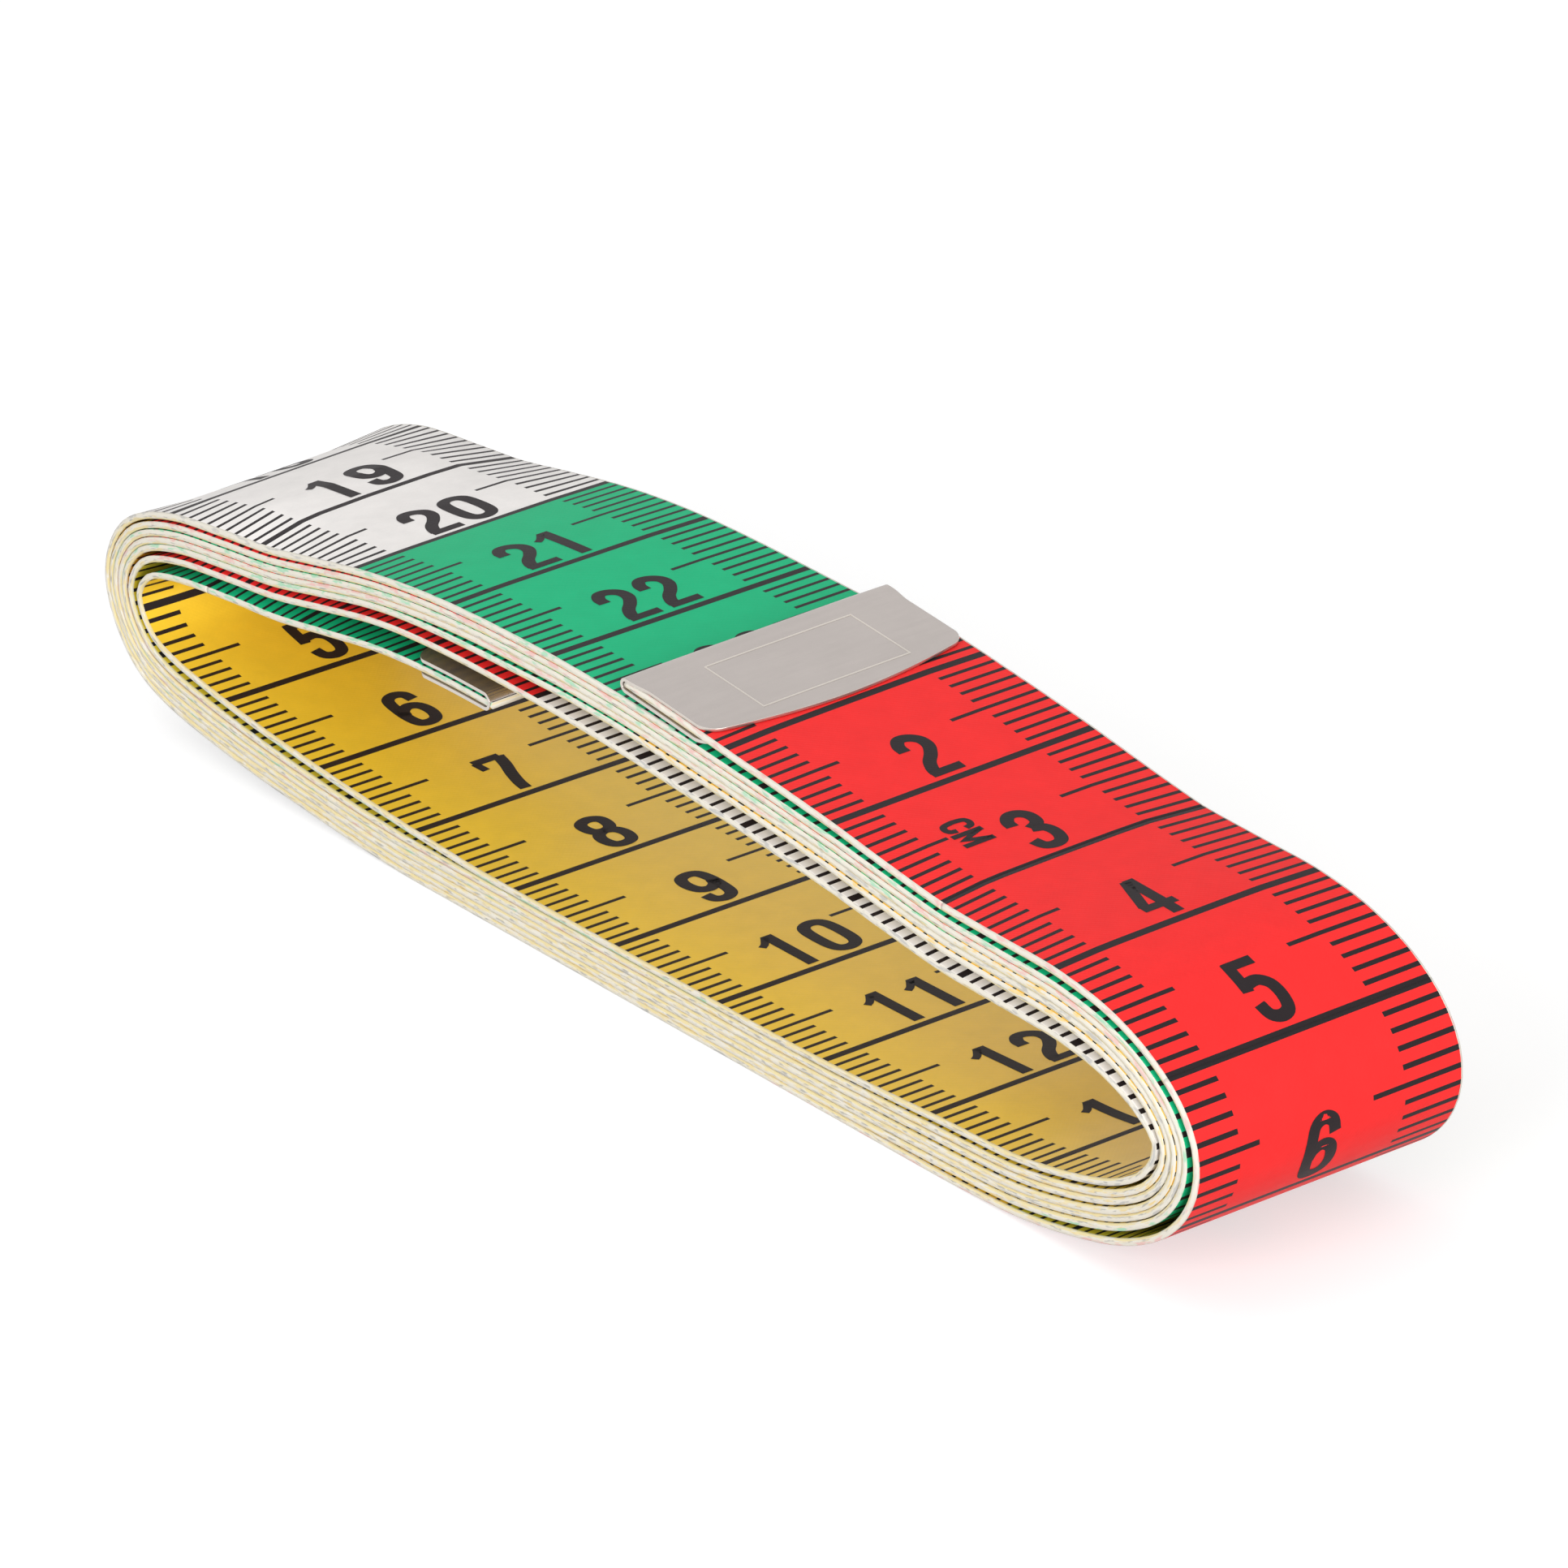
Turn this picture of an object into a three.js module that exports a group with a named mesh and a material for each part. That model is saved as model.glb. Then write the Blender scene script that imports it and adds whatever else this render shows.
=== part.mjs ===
// Cloth tape measure wound into a flat loop, with a folded metal cap on each end.
// Millimetres, X along the loop, Y across the tape, Z up, standing on z = 0.
import * as THREE from 'three';

// ---- the tape
const tapeLength = 1500;
const tapeWidth = 18.6;
const tapeThick = 0.25;
const leastGap = 0.4; // the turns may come no closer than this
const turnSlack = 0.02;

// ---- the loop that it is wound into, over its outermost face
const loopLength = 107.3;
const loopHeight = 20.3;

// ---- the free ends, as lengths of tape from their own tip
const outerTipLength = 21;
const outerLiftLength = 42; // root of the part that lifts off
const innerLiftLength = 26;
const jointGap = 0.36; // slit between two stretches of the tape
const outerRaise = 0.42; // the outer end rides this much higher, for its cap's lower leaf
const innerDroop = 1.3; // the inner end hangs this much lower
const innerDroopLength = 52;

// ---- the caps
const capSheet = 0.3;
const capSeat = 0.12; // from the tape's face to the cap's leaf
const capOverhang = 0.4; // past each edge of the tape
const capSideLength = 7.4;
const capMiddleLength = 9.2;
const capRoom = 0.3; // from the tape's cut end to the inside of the fold

// Outline of the loop, clockwise seen from the front, from the outer end's tip.
// Each pair is a share of the loop's length from its middle and a share of its height.
const outlineShares = [
  [0.011, 0.998], [0.056, 0.982], [0.102, 0.962], [0.15, 0.94], [0.197, 0.915], [0.245, 0.885],
  [0.29, 0.86], [0.335, 0.847], [0.384, 0.834], [0.425, 0.805], [0.458, 0.745], [0.482, 0.66],
  [0.496, 0.56], [0.5, 0.46], [0.496, 0.36], [0.484, 0.262], [0.464, 0.175], [0.434, 0.104],
  [0.395, 0.055], [0.35, 0.022], [0.3, 0.004], [0.26, 0], [0.2, 0], [0.12, 0],
  [0.04, 0], [-0.04, 0], [-0.12, 0], [-0.16, 0], [-0.2, 0.004], [-0.25, 0.018],
  [-0.31, 0.044], [-0.36, 0.07], [-0.407, 0.1], [-0.443, 0.135], [-0.469, 0.19], [-0.4865, 0.271],
  [-0.4972, 0.376], [-0.4997, 0.491], [-0.4925, 0.606], [-0.4765, 0.703], [-0.453, 0.771], [-0.418, 0.815],
  [-0.37, 0.84], [-0.325, 0.864], [-0.282, 0.902], [-0.24, 0.94], [-0.193, 0.972], [-0.147, 0.993],
  [-0.1, 1.003], [-0.045, 1.005],
];
const stepShare = 0.2; // share of the top run's steps in which a turn passes under the next one
const stepsPerPoint = 3;

const turnGap = leastGap + turnSlack;
const pitch = tapeThick + turnGap;
const outlineCount = outlineShares.length;
const stepsPerTurn = outlineCount * stepsPerPoint;

// smooth rise from 0 to 1
function ease(t) {
  const c = Math.min(1, Math.max(0, t));
  return c * c * (3 - 2 * c);
}

// Closed curve through the outline's points; u is in turns.
function outline(u) {
  const f = (u - Math.floor(u)) * outlineCount;
  const i = Math.floor(f);
  const t = f - i;
  const at = (k) => outlineShares[(i + k + outlineCount) % outlineCount];
  const mix = (n, size) => {
    const [a, b, c, d] = [at(-1)[n], at(0)[n], at(1)[n], at(2)[n]];
    const m0 = (c - a) / 2;
    const m1 = (d - b) / 2;
    const cubic = (2 * b - 2 * c + m0 + m1) * t * t * t + (3 * c - 3 * b - 2 * m0 - m1) * t * t + m0 * t + b;
    return cubic * size;
  };
  return [mix(0, loopLength), Math.max(0, mix(1, loopHeight))];
}

// Direction along the outline, from a short stretch on both sides.
function along(u) {
  const reach = 1 / stepsPerTurn;
  const [ax, az] = outline(u - reach);
  const [bx, bz] = outline(u + reach);
  const size = Math.hypot(bx - ax, bz - az);
  return [(bx - ax) / size, (bz - az) / size];
}

// Point on the winding's middle surface, without the free ends' own shape.
function wound(u) {
  const turn = Math.floor(u);
  const step = ease((u - turn - 1 + stepShare / 2) / (stepShare / 2));
  const inward = tapeThick / 2 + pitch * (turn + step);
  const [x, z] = outline(u);
  const [dx, dz] = along(u);
  return [x + dz * inward, z - dx * inward];
}

// The middle surface as a list of points with their distance from the outer tip.
function track() {
  const list = [];
  let s = 0;
  let last = null;
  for (let k = 0; s <= tapeLength + loopLength; k += 1) {
    const [x, z] = wound(k / stepsPerTurn);
    if (last) s += Math.hypot(x - last[0], z - last[1]);
    last = [x, z];
    list.push({ s, x, z });
  }
  return list;
}

const base = track();

function basePoint(s) {
  let low = 0;
  let high = base.length - 1;
  while (high - low > 1) {
    const mid = (low + high) >> 1;
    if (base[mid].s <= s) low = mid;
    else high = mid;
  }
  const a = base[low];
  const b = base[high];
  const t = (s - a.s) / (b.s - a.s);
  const size = Math.hypot(b.x - a.x, b.z - a.z);
  return { x: a.x + (b.x - a.x) * t, z: a.z + (b.z - a.z) * t, nx: -(b.z - a.z) / size, nz: (b.x - a.x) / size };
}

// Point of the tape at distance s from the outer tip; n is the outward direction.
function tapePoint(s) {
  const p = basePoint(s);
  const raise = outerRaise * (1 - ease((s - capMiddleLength) / (outerLiftLength - capMiddleLength)));
  const droop = innerDroop * ease((s - tapeLength + innerDroopLength) / (innerDroopLength - innerLiftLength / 2));
  const out = raise - droop;
  return { x: p.x + p.nx * out, z: p.z + p.nz * out, nx: p.nx, nz: p.nz };
}

// Distances at which a stretch of the tape has its cross sections.
function stations(from, to) {
  const inner = base.map((p) => p.s).filter((s) => s > from + turnGap && s < to - turnGap);
  return [from, ...inner, to];
}

// A closed solid from rings of points, each ring joined to the next one.
function loft(rings) {
  const n = rings[0].length;
  const points = rings.flat();
  const faces = [];
  for (let r = 0; r + 1 < rings.length; r += 1) {
    for (let i = 0; i < n; i += 1) {
      const j = (i + 1) % n;
      const [a, b, c, d] = [r * n + i, r * n + j, (r + 1) * n + j, (r + 1) * n + i];
      faces.push(a, b, c, a, c, d);
    }
  }
  // both end faces are strips: point i of one side pairs with point n - 1 - i of the other
  for (const [start, flip] of [[0, true], [(rings.length - 1) * n, false]]) {
    for (let i = 0; i < n / 2 - 1; i += 1) {
      const [a, b, c, d] = [start + i, start + i + 1, start + n - 2 - i, start + n - 1 - i];
      faces.push(...(flip ? [a, c, b, a, d, c] : [a, b, c, a, c, d]));
    }
  }
  const geometry = new THREE.BufferGeometry();
  geometry.setAttribute('position', new THREE.Float32BufferAttribute(points.flat(), 3));
  geometry.setIndex(faces);
  geometry.computeVertexNormals();
  return geometry;
}

function tapeStretch(from, to) {
  const half = tapeThick / 2;
  const side = tapeWidth / 2;
  return loft(stations(from, to).map((s) => {
    const p = tapePoint(s);
    const at = (y, n) => [p.x + p.nx * n, y, p.z + p.nz * n];
    return [at(-side, -half), at(side, -half), at(side, half), at(-side, half)];
  }));
}

// A folded cap: two leaves along the tape and a half round fold past its cut end.
// end is the tape's cut end and way is +1 where the tape leaves it to larger distances.
function cap(end, way) {
  const leafSteps = 6;
  const foldSteps = 8;
  const widthSteps = 12;
  const nearFace = tapeThick / 2 + capSeat;
  const farFace = nearFace + capSheet;
  const tip = tapePoint(end);
  const back = [-way * tip.nz, way * tip.nx];
  const path = (leaf, offset) => {
    const list = [];
    for (let i = 0; i < leafSteps; i += 1) {
      const p = tapePoint(end + way * leaf * (1 - i / leafSteps));
      list.push([p.x + p.nx * offset, p.z + p.nz * offset]);
    }
    for (let i = 0; i <= foldSteps; i += 1) {
      const angle = (Math.PI * i) / foldSteps;
      const [out, past] = [offset * Math.cos(angle), capRoom + offset * Math.sin(angle)];
      list.push([tip.x + tip.nx * out + back[0] * past, tip.z + tip.nz * out + back[1] * past]);
    }
    for (let i = leafSteps - 1; i >= 0; i -= 1) {
      const p = tapePoint(end + way * leaf * (1 - i / leafSteps));
      list.push([p.x - p.nx * offset, p.z - p.nz * offset]);
    }
    return list;
  };
  const rings = [];
  const side = tapeWidth / 2 + capOverhang;
  for (let k = 0; k <= widthSteps; k += 1) {
    const across = (2 * k) / widthSteps - 1;
    const leaf = capSideLength + (capMiddleLength - capSideLength) * (1 - across * across);
    const lift = ([x, z]) => [x, side * across, z];
    const outer = path(leaf, farFace).map(lift);
    const inner = path(leaf, nearFace).map(lift).reverse();
    const ring = [...outer, ...inner];
    rings.push(way > 0 ? ring.reverse() : ring);
  }
  return loft(rings);
}

// Least distance of the tape's middle surface to itself, less its thickness.
function measuredGap() {
  const list = stations(0, tapeLength).map((s) => ({ s, ...tapePoint(s) }));
  let least = Infinity;
  for (const a of list) {
    for (let k = 0; k + 1 < list.length; k += 1) {
      const [b, c] = [list[k], list[k + 1]];
      if (Math.abs(b.s - a.s) < loopHeight || Math.abs(c.s - a.s) < loopHeight) continue;
      const [dx, dz] = [c.x - b.x, c.z - b.z];
      const t = Math.min(1, Math.max(0, ((a.x - b.x) * dx + (a.z - b.z) * dz) / (dx * dx + dz * dz)));
      least = Math.min(least, Math.hypot(b.x + dx * t - a.x, b.z + dz * t - a.z));
    }
  }
  return least - tapeThick;
}

const gap = measuredGap();
console.log(`least gap between turns ${gap.toFixed(3)} mm, wanted over ${leastGap} mm`);

const cloth = (color) => new THREE.MeshStandardMaterial({ color, roughness: 0.75, metalness: 0 });
const metal = new THREE.MeshStandardMaterial({ color: 0xbcb6b0, roughness: 0.35, metalness: 1 });
const red = cloth(0xf73939);
const green = cloth(0x30be87);

const half = jointGap / 2;
const innerRoot = tapeLength - innerLiftLength;
const group = new THREE.Group();
group.name = 'cloth_tape_measure';

function add(name, geometry, material) {
  const mesh = new THREE.Mesh(geometry, material);
  mesh.name = name;
  group.add(mesh);
}

add('tape_winding', tapeStretch(outerLiftLength + half, innerRoot - half), red);
add('tape_outer_root', tapeStretch(outerTipLength + half, outerLiftLength - half), red);
add('tape_outer_tip', tapeStretch(0, outerTipLength - half), red);
add('tape_inner_end', tapeStretch(innerRoot + half, tapeLength), green);
add('outer_end_cap', cap(0, 1), metal);
add('inner_end_cap', cap(tapeLength, -1), metal);

// The places of the three slits where the tape flexes.
for (const s of [outerTipLength, outerLiftLength, innerRoot]) {
  const p = tapePoint(s);
  console.log(`slit at ${s} mm: x ${p.x.toFixed(3)} z ${p.z.toFixed(3)}`);
}

export default group;
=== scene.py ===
import math
import bpy
import numpy as np
from mathutils import Matrix, Vector


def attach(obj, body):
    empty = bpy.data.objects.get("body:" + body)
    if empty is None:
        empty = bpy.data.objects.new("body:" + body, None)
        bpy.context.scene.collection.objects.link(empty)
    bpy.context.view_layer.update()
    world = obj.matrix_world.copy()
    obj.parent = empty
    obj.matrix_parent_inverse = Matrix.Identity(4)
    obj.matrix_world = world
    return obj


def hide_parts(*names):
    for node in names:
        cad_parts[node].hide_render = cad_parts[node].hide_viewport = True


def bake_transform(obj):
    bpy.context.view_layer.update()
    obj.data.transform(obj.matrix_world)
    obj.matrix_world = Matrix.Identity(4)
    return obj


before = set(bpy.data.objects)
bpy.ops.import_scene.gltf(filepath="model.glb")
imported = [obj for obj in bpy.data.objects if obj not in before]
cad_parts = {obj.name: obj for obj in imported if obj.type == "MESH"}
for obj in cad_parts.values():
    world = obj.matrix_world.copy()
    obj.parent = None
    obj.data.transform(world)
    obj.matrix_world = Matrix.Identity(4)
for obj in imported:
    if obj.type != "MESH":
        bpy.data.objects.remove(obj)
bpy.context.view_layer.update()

mm = 0.001

# camera
cameraValues = dict(
    azimuth=54.1348, height=24.7833, roll=-2.2527,      # degrees
    aim=(3.9107, 0, 12.1814), distance=595.97,          # mm
    pixelsPerMm=21.4522, frameSide=1932, sensor=36,
    clip=(0.05, 20))                                    # metres


def placeCamera(v):
    a, e, t = (math.radians(v[k]) for k in ("azimuth", "height", "roll"))
    back = Vector((math.sin(a) * math.cos(e), -math.cos(a) * math.cos(e), math.sin(e)))
    right = Vector((0, 0, 1)).cross(back).normalized()
    up = back.cross(right)
    side = right * math.cos(t) + up * math.sin(t)
    top = up * math.cos(t) - right * math.sin(t)
    data = bpy.data.cameras.new("photoCamera")
    data.sensor_width = v["sensor"]
    data.sensor_fit = "HORIZONTAL"
    data.lens = v["pixelsPerMm"] * v["distance"] / v["frameSide"] * v["sensor"]
    data.clip_start, data.clip_end = v["clip"]
    camera = bpy.data.objects.new("photoCamera", data)
    bpy.context.scene.collection.objects.link(camera)
    place = Vector(v["aim"]) * mm + back * v["distance"] * mm
    camera.matrix_world = Matrix((
        (side.x, top.x, back.x, place.x), (side.y, top.y, back.y, place.y),
        (side.z, top.z, back.z, place.z), (0, 0, 0, 1)))
    bpy.context.scene.camera = camera


placeCamera(cameraValues)
print("camera placed")

# the ribbon and its route, in mm: s runs along the ribbon, y across it and n out of its front
ribbon = dict(
    length=1500, width=18.6, thick=0.43, begin=0.6, slopeReach=0.35,
    corner=0.04, edgeSwell=0.06, swellAt=0.02,          # the cut edge's section
    bareRim=0.1, bareUntil=232,                         # the outer turn's bare border
    fray=0.04, frayWaves=((1.9, 0), (3.1, 1.3), (0.7, 2.2)))
# each turn steps inward over the last share of its round
loop = dict(length=106.38, height=20.3, turns=8, stepShare=0.1, stepsPerPoint=16, slopeStep=0.6)
# the loop's outline from the middle of the top run, clockwise, as shares of its length and height
outlineShares = [
    (0.011, 0.998), (0.056, 0.982), (0.102, 0.962), (0.15, 0.94), (0.197, 0.915), (0.245, 0.885),
    (0.29, 0.86), (0.335, 0.847), (0.384, 0.834), (0.425, 0.805), (0.458, 0.745), (0.482, 0.66),
    (0.496, 0.56), (0.5, 0.46), (0.496, 0.36), (0.484, 0.262), (0.464, 0.175), (0.434, 0.102),
    (0.395, 0.05), (0.35, 0.0145), (0.3, 0.002), (0.26, 0), (0.2, 0), (0.12, 0),
    (0.04, 0), (-0.04, 0), (-0.12, 0), (-0.16, 0), (-0.2, 0), (-0.25, 0.01),
    (-0.31, 0.033), (-0.36, 0.056), (-0.407, 0.088), (-0.443, 0.1245), (-0.469, 0.178), (-0.4865, 0.261),
    (-0.4972, 0.366), (-0.4997, 0.4785), (-0.4925, 0.595), (-0.4765, 0.691), (-0.453, 0.757), (-0.418, 0.805),
    (-0.37, 0.8355), (-0.325, 0.861), (-0.282, 0.9), (-0.24, 0.938), (-0.193, 0.97), (-0.147, 0.9915),
    (-0.1, 1.0025), (-0.045, 1.005)]
# the gap under each turn in mm, outermost first, at a share of the turn
gapRows = [
    (0.00, (0.05, 0.03, 0.02, 0.01, 0.08, 1.04)), (0.08, (0.22, 0.05, 0.02, 0.04, 0.03, 0.89)),
    (0.18, (0.40, 0.06, 0.01, 0.07, 0.03, 0.74)), (0.26, (0.50, 0.06, 0.01, 0.08, 0.03, 0.30)),
    (0.32, (0.46, 0.06, 0.01, 0.09, 0.03, 0.19)), (0.40, (0.22, 0.06, 0.02, 0.16, 0.09, 0.26)),
    (0.46, (0.01, 0.01, 0.02, 0.03, 0.05, 0.08)), (0.52, (0.01, 0.01, 0.01, 0.01, 0.03, 0.08)),
    (0.58, (0.01, 0.01, 0.01, 0.02, 0.06, 0.44)), (0.66, (0.01, 0.01, 0.03, 0.05, 0.12, 0.50)),
    (0.73, (0.03, 0.03, 0.04, 0.06, 0.22, 0.48)), (0.78, (0.12, 0.05, 0.05, 0.03, 0.24, 0.58)),
    (0.83, (0.22, 0.08, 0.05, 0.02, 0.36, 0.72)), (0.92, (0.08, 0.03, 0.02, 0.01, 0.55, 1.06))]
ends = dict(
    tipRaise=0.28, tipRaiseLength=12, tipRaisePower=1.4, outerRaise=0.42, outerRaiseLength=34,
    innerDroop=0.42, innerDroopLength=52)
# the top run's waves: x, then how far the near edge, the middle and the far edge stand above the outline
liftRows = [
    (-56, -0.38, -0.3, 0.1), (-49, -0.38, -0.35, 0.15), (-45, -0.38, 0.12, 0.22), (-39, -0.4, 0.85, 0.08),
    (-35, -0.42, 0.85, 0.02), (-30, -0.37, 0.55, 0), (-26, -0.33, 0.1, -0.04), (-15, -0.22, 0.1, -0.03),
    (-5, -0.12, 0, 0), (3, -0.2, 0.05, 0.15), (11, -0.15, 0.15, 0.27), (21, -0.1, 0, 0.2),
    (31, -0.2, 0.4, 0), (41, 0.04, 0.2, 0.24), (50, -0.1, 0, 0.05), (56, 0, 0, 0)]
# the inner turns' edges wander sideways between start and end: size, period and phase of each wave
wander = dict(start=235, end=1290, grow=60, waves=((0.025, 410, 0.4), (0.015, 133, 2.1)))
liftFrom, liftTo = 6.5, 12.5                            # heights between which the waves grow


def ease(t):
    t = np.clip(t, 0, 1)
    return t * t * (3 - 2 * t)


def cubic(a, b, c, d, t):
    m0, m1 = (c - a) / 2, (d - b) / 2
    return (2 * b - 2 * c + m0 + m1) * t ** 3 + (3 * c - 3 * b - 2 * m0 - m1) * t * t + m0 * t + b


def outline(u):
    points = np.array(outlineShares)
    count = len(points)
    f = np.mod(u, 1) * count
    i = f.astype(int)
    t = f - i
    a, b, c, d = (points[(i + k) % count] for k in (-1, 0, 1, 2))
    x = cubic(a[:, 0], b[:, 0], c[:, 0], d[:, 0], t) * loop["length"]
    z = cubic(a[:, 1], b[:, 1], c[:, 1], d[:, 1], t) * loop["height"]
    return x, np.maximum(z, 0)


def gapsAt(u):
    u = np.mod(u, 1)
    starts = np.array([row[0] for row in gapRows])
    table = np.array([row[1] for row in gapRows])
    i = np.searchsorted(starts, u, side="right") - 1
    nextStart = np.append(starts[1:], 1.0)
    t = ease((u - starts[i]) / (nextStart[i] - starts[i]))[:, None]
    return table[i] * (1 - t) + table[(i + 1) % len(starts)] * t


def depthAt(turn, u):
    gaps = gapsAt(u)
    gaps = np.concatenate([gaps, gaps[:, -1:], gaps[:, -1:]], axis=1)     # the last turns share a gap
    pitch = np.cumsum(gaps + ribbon["thick"], axis=1)
    pitch = np.concatenate([np.zeros((len(u), 1)), pitch], axis=1)
    return ribbon["thick"] / 2 + pitch[np.arange(len(u)), turn]


def makeRoute():
    perTurn = len(outlineShares) * loop["stepsPerPoint"]
    v = np.arange(perTurn * loop["turns"] - 2) / perTurn
    turn = np.floor(v).astype(int)
    u = v - turn
    h = loop["slopeStep"] / perTurn
    ax, az = outline(u - h)
    bx, bz = outline(u + h)
    size = np.hypot(bx - ax, bz - az)
    dx, dz = (bx - ax) / size, (bz - az) / size
    step = ease((u - 1 + loop["stepShare"]) / loop["stepShare"])
    nextTurn = np.minimum(turn + 1, loop["turns"] - 1)
    depth = depthAt(turn, u) * (1 - step) + depthAt(nextTurn, u) * step
    x, z = outline(u)
    x, z = x + dz * depth, z - dx * depth
    s = np.concatenate([[0], np.cumsum(np.hypot(np.diff(x), np.diff(z)))])
    return s, x, z


routeS, routeX, routeZ = makeRoute()


def middle(s):
    x = np.interp(s, routeS, routeX)
    z = np.interp(s, routeS, routeZ)
    z = z + ends["outerRaise"] * ease(1 - s / ends["outerRaiseLength"])
    z = z + ends["tipRaise"] * np.clip(1 - s / ends["tipRaiseLength"], 0, 1) ** ends["tipRaisePower"]
    droop = (s - ribbon["length"] + ends["innerDroopLength"]) / ends["innerDroopLength"]
    z = z - ends["innerDroop"] * np.clip(droop, 0, 1) ** 2
    return x, z


def place(s, y, n):
    s, y, n = np.broadcast_arrays(np.asarray(s, float), np.asarray(y, float), np.asarray(n, float))
    length, reach = ribbon["length"], ribbon["slopeReach"]
    x, z = middle(np.clip(s, 0, length))
    near = np.clip(s, reach, length - reach)
    ax, az = middle(near - reach)
    bx, bz = middle(near + reach)
    size = np.hypot(bx - ax, bz - az)
    dx, dz = (bx - ax) / size, (bz - az) / size
    over = np.where(s < 0, s, np.where(s > length, s - length, 0))        # past either end, straight on
    x, z = x + dx * over - dz * n, z + dz * over + dx * n
    inside = ease((s - wander["start"]) / wander["grow"]) * ease((wander["end"] - s) / wander["grow"])
    yShift = inside * sum(
        high * np.sin(2 * math.pi * s / period + phase) for high, period, phase in wander["waves"])
    rows = np.array(liftRows)
    share = y / ribbon["width"] + 0.5
    nearLift, middleLift, farLift = (np.interp(x, rows[:, 0], rows[:, k]) for k in (1, 2, 3))
    crown = 1 - np.clip(2 * share - 1, -1, 1) ** 4
    lift = nearLift * (1 - share) + farLift * share + middleLift * crown
    z = z + lift * ease((z - liftFrom) / (liftTo - liftFrom))
    return np.stack([x, y + yShift, z], axis=-1) * mm


for reached in range(300, ribbon["length"] + 1, 300):
    print("route at", reached, "mm:", [round(float(c) / mm, 2) for c in place(reached, 0, 0)])

# materials
colours = dict(
    red=(236, 46, 46), green=(22, 180, 124), white=(239, 235, 232), amber=(238, 190, 78),
    yellow=(238, 200, 54), ink=(38, 32, 34),
    edge=(211, 206, 194), edgeGrey=(168, 165, 158), edgeCream=(214, 196, 150), edgeYellow=(213, 199, 152),
    pinkTint=(214, 178, 172), greenTint=(160, 200, 172), whiteTint=(180, 178, 174),
    amberTint=(218, 194, 138),
    # rim is the nickel lightened: a painted highlight for the caps' rims and the frame's lines
    metal=(186, 178, 173), rim=(208, 201, 193), floor=(196, 196, 196))
mapUnit = 100                                           # mm in one unit of the ribbon's map


def linear(rgb):
    c = np.array(rgb) / 255
    return tuple(np.where(c <= 0.04045, c / 12.92, ((c + 0.055) / 1.055) ** 2.4)) + (1.0,)


def node(tree, kind, x=0, y=0, **inputs):
    n = tree.nodes.new(kind)
    n.location = (x, y)
    for key, value in inputs.items():
        n.inputs[key.replace("_", " ")].default_value = value
    return n


def mathNode(tree, operation, a, b=None, clamp=False):
    n = tree.nodes.new("ShaderNodeMath")
    n.operation, n.use_clamp = operation, clamp
    for i, value in enumerate((a, b)):
        if value is None:
            continue
        if isinstance(value, (int, float)):
            n.inputs[i].default_value = value
        else:
            tree.links.new(value, n.inputs[i])
    return n.outputs[0]


def mixColours(tree, factor, a, b):
    n = tree.nodes.new("ShaderNodeMix")
    n.data_type = "RGBA"
    for socket, value in ((n.inputs["Factor"], factor), (n.inputs[6], a), (n.inputs[7], b)):
        if isinstance(value, (int, float, tuple)):
            socket.default_value = value
        else:
            tree.links.new(value, socket)
    return n.outputs[2]


def shaded(c, k):
    return tuple(v * k for v in c[:3]) + (1.0,)


def startMaterial(name):
    m = bpy.data.materials.new(name)
    m.use_nodes = True
    return m, m.node_tree, m.node_tree.nodes["Principled BSDF"]


def addBump(tree, shader, height, strength, distance):
    bump = node(tree, "ShaderNodeBump", -200, -400, Strength=strength, Distance=distance)
    tree.links.new(height, bump.inputs["Height"])
    tree.links.new(bump.outputs[0], shader.inputs["Normal"])


cloth = dict(
    threadPitch=0.34, threadDepth=0.10, reliefDepth=0.00004, mottle=0.07, paleShare=0.6,
    coarseShare=1.6, fineShare=0.6, roughness=0.5, roughSpread=0.14)


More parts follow.
